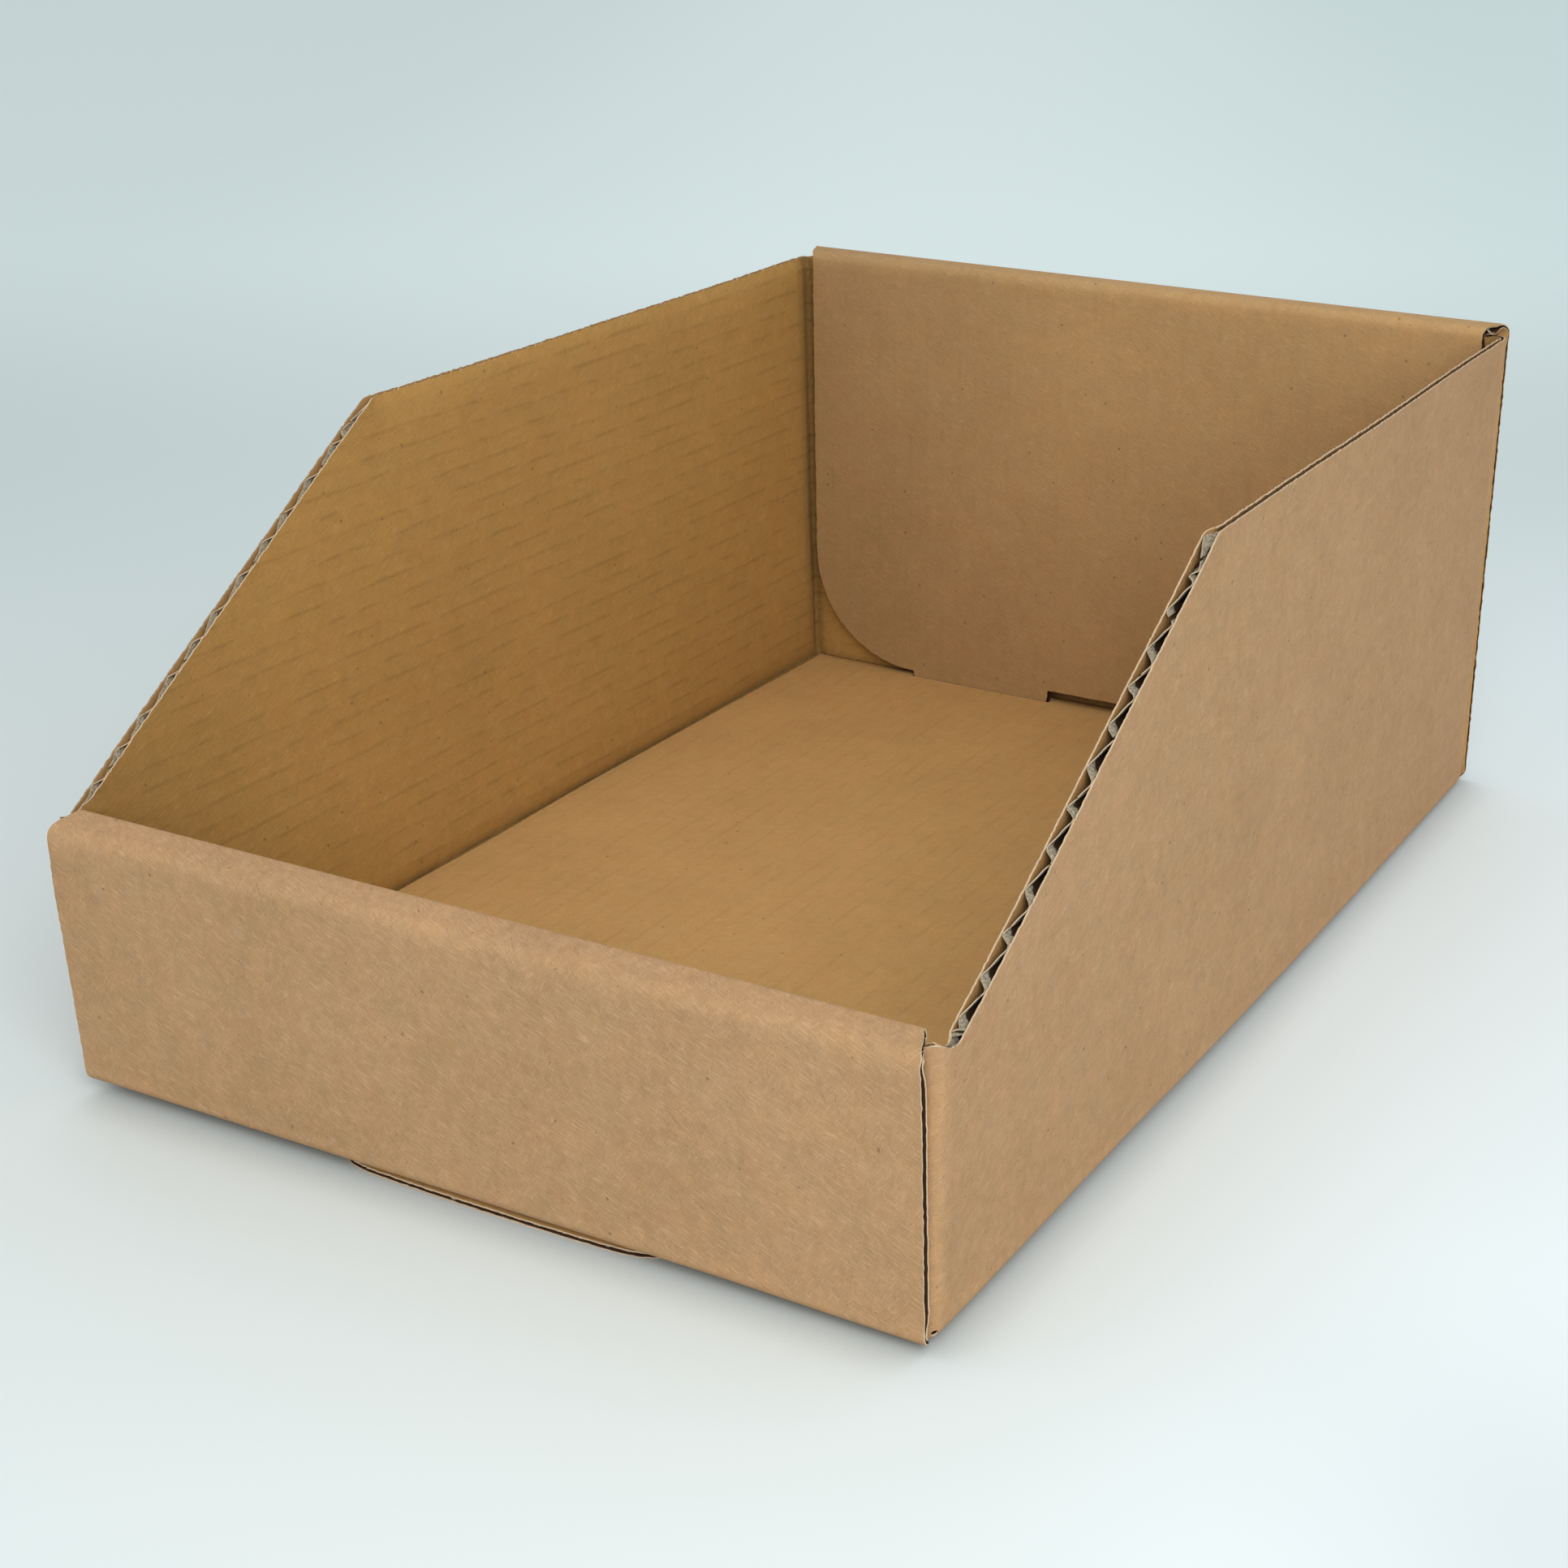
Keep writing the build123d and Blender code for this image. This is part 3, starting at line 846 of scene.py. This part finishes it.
def wall_liner(name, side, depth, facing_out, materials, outline, relief, set_of_wall, rng):
    """One liner of a side wall with its flaps"""
    rings = [ragged(outline, 0.7, 0.08, rng), relief]
    flat, faces = triangulate(rings, wall_path.stations(GRID, FOLD_GRID), Q_STATIONS, 0.4)
    lower = np.exp(-((np.maximum(0, flat[:, 1] - FOLD) / 1.8) ** 2))
    piece = make_piece(
        name,
        wall_place(flat[:, 0], flat[:, 1], depth, side, *set_of_wall),
        faces if (side > 0) == facing_out else faces[:, ::-1],
        materials,
        flat[:, ::-1],
        np.maximum(wall_path.near_fold(flat[:, 0], 1.6), lower),
    )
    settle(thicken(piece, LINER, 2))


def wall_wave(p, q, inward, foot, phase):
    """Depth of a side wall's medium: closed along the level cuts and pressed over near the slope's top"""
    depth = flute_wave(q, phase)
    depth = np.where(p > P_TOP - 3, close_rim(depth, q, SIDE_TOP), depth)
    depth = np.where((p < foot + 2) & (q < LOW_RUN + 1), close_rim(depth, q, LOW_RUN), depth)
    bent = (1 - np.clip((inward - 2.0) / 2.0, 0, 1)) * (np.abs(p - P_TOP + 3) < 7)
    bent = bent * np.clip((q - SIDE_TOP + 6.5), 0, 1)
    pressed = BOARD / 2 + SWING * (2 * np.clip((q - SIDE_TOP + 5.5) / 4.5, 0, 1) - 1)
    return depth * (1 - bent) + pressed * bent


def wall_medium(name, side, outline, foot, phase, set_of_wall, rng):
    """The medium of a side wall beside its cuts, whole between its two upright folds"""
    flipped = [(q, p) for p, q in outline]
    flat, faces, inward = flute_sheet(flipped, 12.0, [(0, SIDE_TOP)], [(P_FRONT, P_BACK)], 0.5, rng)
    q, p = flat[:, 0], flat[:, 1]
    depth = wall_wave(p, q, inward, foot, phase)
    # Distance in from the nearest cut, level cuts included, which sets where the medium's painted shade
    # begins
    inward = np.minimum(inward, SIDE_TOP - q)
    inward = np.where(p < foot + 2, np.minimum(inward, np.abs(LOW_RUN - q)), inward)
    piece = make_piece(name, wall_place(p, q, depth, side, *set_of_wall), faces,
                       [medium_face, medium_edge], flat, inward)
    settle(thicken(piece, MEDIUM))


def side_wall(side, name, set_of_wall, foot, phase, edge, shade, rng):
    """A side wall: side is 1 for right and -1 for left, set_of_wall its bow, lean and front opening"""
    outline, relief = wall_rings(foot)
    wall_liner(name + "_wall_outer_liner", side, LINER / 2, True,
               [wall_outer, edge, shade], outline, relief, set_of_wall, rng)
    wall_liner(name + "_wall_inner_liner", side, BOARD - LINER / 2, False,
               [wall_inner, cut_edge, flute_side], outline, relief, set_of_wall, rng)
    wall_medium(name + "_wall_medium", side, outline, foot, phase, set_of_wall, rng)


# The right wall's outer liner takes the near-black painted shade on its flute side; the left wall's takes
# the brown flute_side, with the shaded copy of the cut edge on its rim: painted shade
side_wall(1, "right", (3.1, 0.9, 0.0), P_FOOT, -0.73, cut_edge, flute_shade, rng)
side_wall(-1, "left", (3.0, 2.6, 1.7), P_FOOT - 4.3, 0.4, shaded_cut_edge, flute_side, rng)


# Floor, light and camera


YAW, PITCH_DOWN, ROLL = 0.490, 0.441, 0.008
WHITE = (1.0, 1.0, 1.0, 1.0)


def pale_floor():
    """A wide, pale floor, its tones changing with distance in metres along and across one direction, with
    painted light and shade: the fall-off of the light, the tray's shadows and an offset against the warm
    bounce from its right wall
    """
    n = Nodes("pale_floor")
    place = n.new("ShaderNodeTexCoord").outputs["Object"]
    parts = n.new("ShaderNodeSeparateXYZ")
    n.put(parts.inputs[0], place)
    across, along = math.sin(YAW), math.cos(YAW)
    x, y, _ = parts.outputs
    away = n.math("MULTIPLY_ADD", x, -across, n.math("MULTIPLY", y, along))
    aside = n.math("MULTIPLY_ADD", y, across, n.math("MULTIPLY", x, along))
    left = n.ramp(aside, 0.02, -0.45)
    right = n.ramp(aside, 0.02, 0.45)
    # Painted light: near the tray the floor is brighter and bluer towards its right, against the warm bounce
    # from the tray's right wall
    near = n.mix(n.ramp(aside, 0.0, 0.13), (0.72, 0.79, 0.79, 1.0), (0.79, 0.88, 0.91, 1.0))
    middle = n.mix(right, (0.665, 0.765, 0.77, 1.0), (0.585, 0.67, 0.67, 1.0))
    far = n.mix(right, (0.80, 0.92, 0.915, 1.0), (0.71, 0.85, 0.845, 1.0))
    colour = n.mix(n.ramp(away, -0.04, 0.40), near, middle)
    colour = n.mix(n.ramp(away, 0.36, 0.80), colour, far)
    # Painted shade: darker at the near right, taking down the key lamp's pool of light there
    corner = n.math("MULTIPLY", n.ramp(aside, 0.05, 0.12), n.ramp(away, -0.14, -0.24))
    colour = n.mix(corner, colour, (0.67, 0.74, 0.76, 1.0))
    # Painted contact shadow: the floor's colour is darkened where ambient occlusion finds the tray close by
    painted_contact_shadow = n.new("ShaderNodeAmbientOcclusion", samples=8)
    painted_contact_shadow.inputs["Distance"].default_value = 0.014
    colour = n.vector("MULTIPLY", colour, grey(n, n.ramp(painted_contact_shadow.outputs["AO"], 0.35, 1.0, 0.68, 1.0)))
    # Painted shadow: the floor is darker to the left of the tray
    shade = n.mix(left, WHITE, (0.87, 0.88, 0.885, 1.0))
    n.put(n.shader.inputs["Base Color"], n.mix(1.0, colour, shade, "MULTIPLY"))
    n.put(n.shader.inputs["Roughness"], 0.6)
    n.put(n.shader.inputs["Specular IOR Level"], 0.2)
    return n.material


# The tray stands on its tab, so the floor leans under it from the tab to the foot of the back wall
tab_under, tab_y, tab_to_back, clear = -3.5, -143.0, 290.0, 0.03
tilt = -tab_under / tab_to_back
reach = 9000.0
corners = [(x, y, tab_under + (y - tab_y) * tilt - clear) for x, y in (
    (-reach, -reach), (reach, -reach), (reach, reach), (-reach, reach))]
floor_mesh = bpy.data.meshes.new("floor")
floor_mesh.from_pydata([tuple(c * MM for c in p) for p in corners], [], [(0, 1, 2, 3)])
floor = bpy.data.objects.new("floor", floor_mesh)
bpy.context.scene.collection.objects.link(floor)
floor_mesh.materials.append(pale_floor())


def soft_light(name, place, aim, size, power, colour):
    """A large square lamp pointed at a place"""
    lamp = bpy.data.lights.new(name, "AREA")
    lamp.shape = "SQUARE"
    lamp.size = size
    lamp.energy = power
    lamp.color = colour
    made = bpy.data.objects.new(name, lamp)
    bpy.context.scene.collection.objects.link(made)
    made.location = place
    made.rotation_euler = (Vector(aim) - Vector(place)).to_track_quat("-Z", "Y").to_euler()


world = bpy.data.worlds.new("studio")
bpy.context.scene.world = world
world.use_nodes = True
sky = world.node_tree.nodes["Background"]
sky.inputs["Color"].default_value = (0.97, 0.99, 1.0, 1.0)
sky.inputs["Strength"].default_value = 0.78
soft_light("key", (0.64, -0.76, 0.64), (0, 0, 0), 0.8, 8.2, (1.0, 0.985, 0.965))

cam_data = bpy.data.cameras.new("camera")
camera = bpy.data.objects.new("camera", cam_data)
bpy.context.scene.collection.objects.link(camera)
flat_part = math.cos(PITCH_DOWN)
forward = Vector((-math.sin(YAW) * flat_part, math.cos(YAW) * flat_part, -math.sin(PITCH_DOWN)))
level = forward.cross(Vector((0, 0, 1))).normalized()
upward = level.cross(forward)
right = math.cos(ROLL) * level + math.sin(ROLL) * upward
upward = -math.sin(ROLL) * level + math.cos(ROLL) * upward
turn = Matrix((right, upward, -forward)).transposed().to_4x4()
camera.matrix_world = Matrix.Translation((0.28004, -0.48101, 0.26162)) @ turn
cam_data.sensor_width = 36.0
cam_data.lens = 59.06
cam_data.shift_x = -0.1054
cam_data.shift_y = 0.0823
cam_data.clip_start = 0.02
cam_data.clip_end = 60.0
bpy.context.scene.camera = camera

bpy.context.scene.view_settings.view_transform = "Standard"
